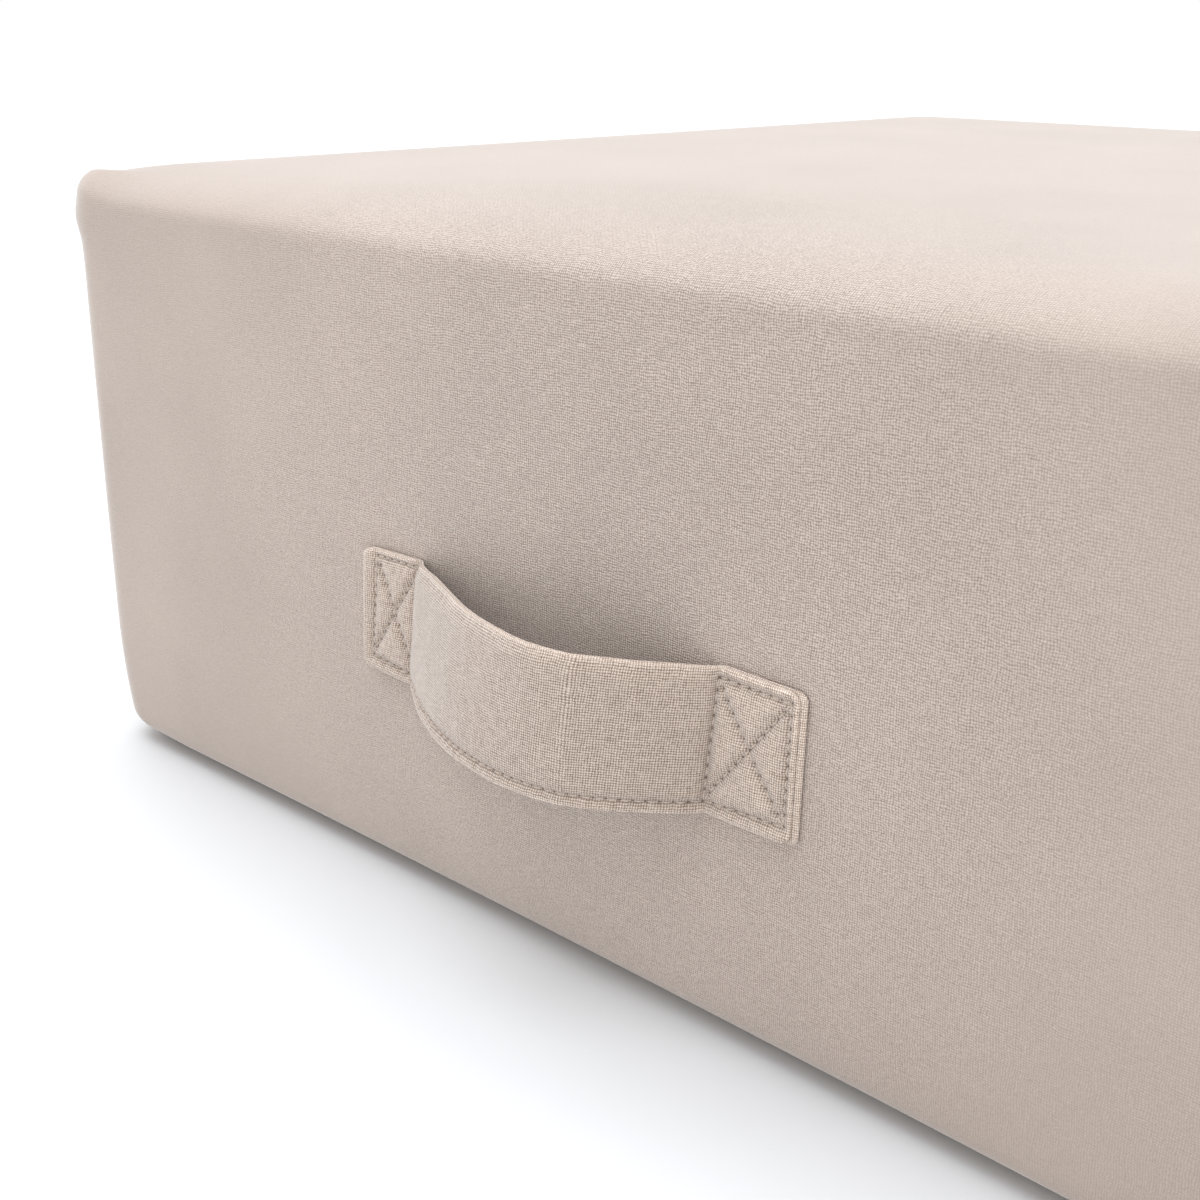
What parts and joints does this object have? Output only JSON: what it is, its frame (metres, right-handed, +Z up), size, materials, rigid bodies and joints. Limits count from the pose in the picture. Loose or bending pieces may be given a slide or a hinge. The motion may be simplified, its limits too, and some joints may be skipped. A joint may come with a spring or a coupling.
{
  "type": "jumping cushion",
  "caption": "Square foam jumping cushion in a tight woven canvas cover, with rounded edges, a slightly crowned top and a carry handle sewn across one side.",
  "frame": {"origin": "centre of the flat underside", "axes": "+Z up, +X along the side that has the handle, the handle on the -Y side"},
  "size_m": [0.6, 0.6332, 0.25],
  "materials": {
    "cover_canvas": "plain-woven beige cotton canvas, matt",
    "handle_canvas": "the same beige canvas, folded to a strap and topstitched"
  },
  "bodies": {
    "root": {"cushion": "cover_canvas", "carry_handle": "handle_canvas"}
  },
  "joints": []
}
